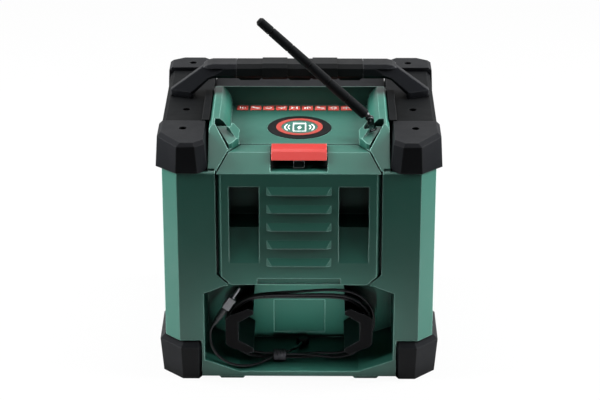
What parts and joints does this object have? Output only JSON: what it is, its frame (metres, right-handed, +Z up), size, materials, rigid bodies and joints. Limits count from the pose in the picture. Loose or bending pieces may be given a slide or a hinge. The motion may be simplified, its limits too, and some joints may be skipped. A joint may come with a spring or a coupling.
{
  "type": "jobsite radio",
  "caption": "Cordless jobsite radio with handle, corner bumpers, hinged battery door, folding antenna, charging tray and a cord bay with a wound audio lead.",
  "frame": {"origin": "centre of the footprint, on the floor", "axes": "+X to the right and +Y away from the viewer who faces the battery door, +Z up"},
  "size_m": [0.2884, 0.2684, 0.3739],
  "materials": {
    "green_plastic": "satin moulded plastic with a fine grain",
    "black_plastic": "fine-grained black plastic",
    "bumper_black": "matt black impact-resistant corner",
    "soft_black": "soft black rubber",
    "panel_black": "smooth black plastic",
    "red_plastic": "red moulded plastic",
    "steel": "zinc-plated steel",
    "brass_contact": "plated contact blades",
    "copper": "enamelled copper winding",
    "chrome_fitting": "plated metal",
    "cord_black": "black PVC jacket",
    "strap_fabric": "woven hook-and-loop strap",
    "grey_plastic": "grey plug collar",
    "window_glass": "dark clear display window",
    "speaker_paper": "coated paper cone",
    "grille_metal": "black powder-coated grille",
    "board_green": "circuit board"
  },
  "bodies": {
    "housing": {"aux_coil": "cord_black", "aux_lead_end": "cord_black", "aux_lead_in": "cord_black", "battery_cradle": "black_plastic", "bottom_bumper_front_left": "bumper_black", "bottom_bumper_front_right": "bumper_black", "bottom_bumper_rear_left": "bumper_black", "bottom_bumper_rear_right": "bumper_black", "bumper_screws": "steel", "charging_coil": "copper", "charging_disc": "panel_black", "charging_plate": "green_plastic", "charging_ring": "red_plastic", "contact_blades": "brass_contact", "control_panel": "panel_black", "cord_grommet": "soft_black", "cord_hook_left": "black_plastic", "cord_hook_right": "black_plastic", "cord_strap": "strap_fabric", "display_module": "panel_black", "display_window": "window_glass", "door_gasket": "soft_black", "encoders": "steel", "front_housing": "black_plastic", "grille_left": "grille_metal", "grille_right": "grille_metal", "handle": "black_plastic", "handle_grip": "soft_black", "icon_tabs": "red_plastic", "main_board": "board_green", "plug_body": "soft_black", "plug_collar": "grey_plastic", "plug_pin": "chrome_fitting", "rear_housing": "green_plastic", "side_rail_left": "black_plastic", "side_rail_right": "black_plastic", "speaker_left": "speaker_paper", "speaker_right": "speaker_paper", "terminal_block": "black_plastic", "top_bumper_front_left": "bumper_black", "top_bumper_front_right": "bumper_black", "top_bumper_rear_left": "bumper_black", "top_bumper_rear_right": "bumper_black"},
    "door": {"battery_door": "green_plastic", "door_hinge_pins": "steel", "latch_pin": "steel"},
    "latch": {"door_latch": "red_plastic"},
    "antenna_base": {"antenna_post": "chrome_fitting", "antenna_clip": "steel", "antenna_pin": "steel"},
    "mast": {"antenna_knuckle": "chrome_fitting", "antenna_mast": "soft_black"},
    "tuning": {"tuning_knob": "black_plastic"},
    "volume": {"volume_knob": "black_plastic"},
    "key_1": {"button_1": "panel_black"},
    "key_2": {"button_2": "panel_black"},
    "key_3": {"button_3": "panel_black"},
    "key_4": {"button_4": "panel_black"},
    "key_5": {"button_5": "panel_black"}
  },
  "joints": [
    {"name": "door_hinge", "type": "hinge", "parent": "housing", "child": "door", "pos_m": [0, -0.1273, 0.1074], "axis": [1, 0, 0], "range_deg": [0, 90]},
    {"name": "latch_hinge", "type": "hinge", "parent": "door", "child": "latch", "pos_m": [0, -0.106, 0.2406], "axis": [-1, 0, 0], "range_deg": [0, 24], "stiffness_Nm_per_rad": 0.05, "springref_deg": -17.19},
    {"name": "antenna_swivel", "type": "hinge", "parent": "housing", "child": "antenna_base", "pos_m": [0.0725, -0.075, 0.254], "axis": [0, 0, 1], "range_deg": [0, 90]},
    {"name": "antenna_tilt", "type": "hinge", "parent": "antenna_base", "child": "mast", "pos_m": [0.0725, -0.075, 0.2663], "axis": [0, 1, 0], "range_deg": [-43, 47]},
    {"name": "tuning_turn", "type": "hinge", "parent": "housing", "child": "tuning", "pos_m": [0.082, 0.122, 0.19], "axis": [0, 1, 0], "continuous": true},
    {"name": "volume_turn", "type": "hinge", "parent": "housing", "child": "volume", "pos_m": [-0.082, 0.122, 0.19], "axis": [0, 1, 0], "continuous": true},
    {"name": "key_1_press", "type": "slide", "parent": "housing", "child": "key_1", "axis": [0, -1, 0], "range_m": [0, 0.0012], "stiffness_N_per_m": 500, "springref_m": -0.0006},
    {"name": "key_2_press", "type": "slide", "parent": "housing", "child": "key_2", "axis": [0, -1, 0], "range_m": [0, 0.0012], "stiffness_N_per_m": 500, "springref_m": -0.0006},
    {"name": "key_3_press", "type": "slide", "parent": "housing", "child": "key_3", "axis": [0, -1, 0], "range_m": [0, 0.0012], "stiffness_N_per_m": 500, "springref_m": -0.0006},
    {"name": "key_4_press", "type": "slide", "parent": "housing", "child": "key_4", "axis": [0, -1, 0], "range_m": [0, 0.0012], "stiffness_N_per_m": 500, "springref_m": -0.0006},
    {"name": "key_5_press", "type": "slide", "parent": "housing", "child": "key_5", "axis": [0, -1, 0], "range_m": [0, 0.0012], "stiffness_N_per_m": 500, "springref_m": -0.0006}
  ]
}
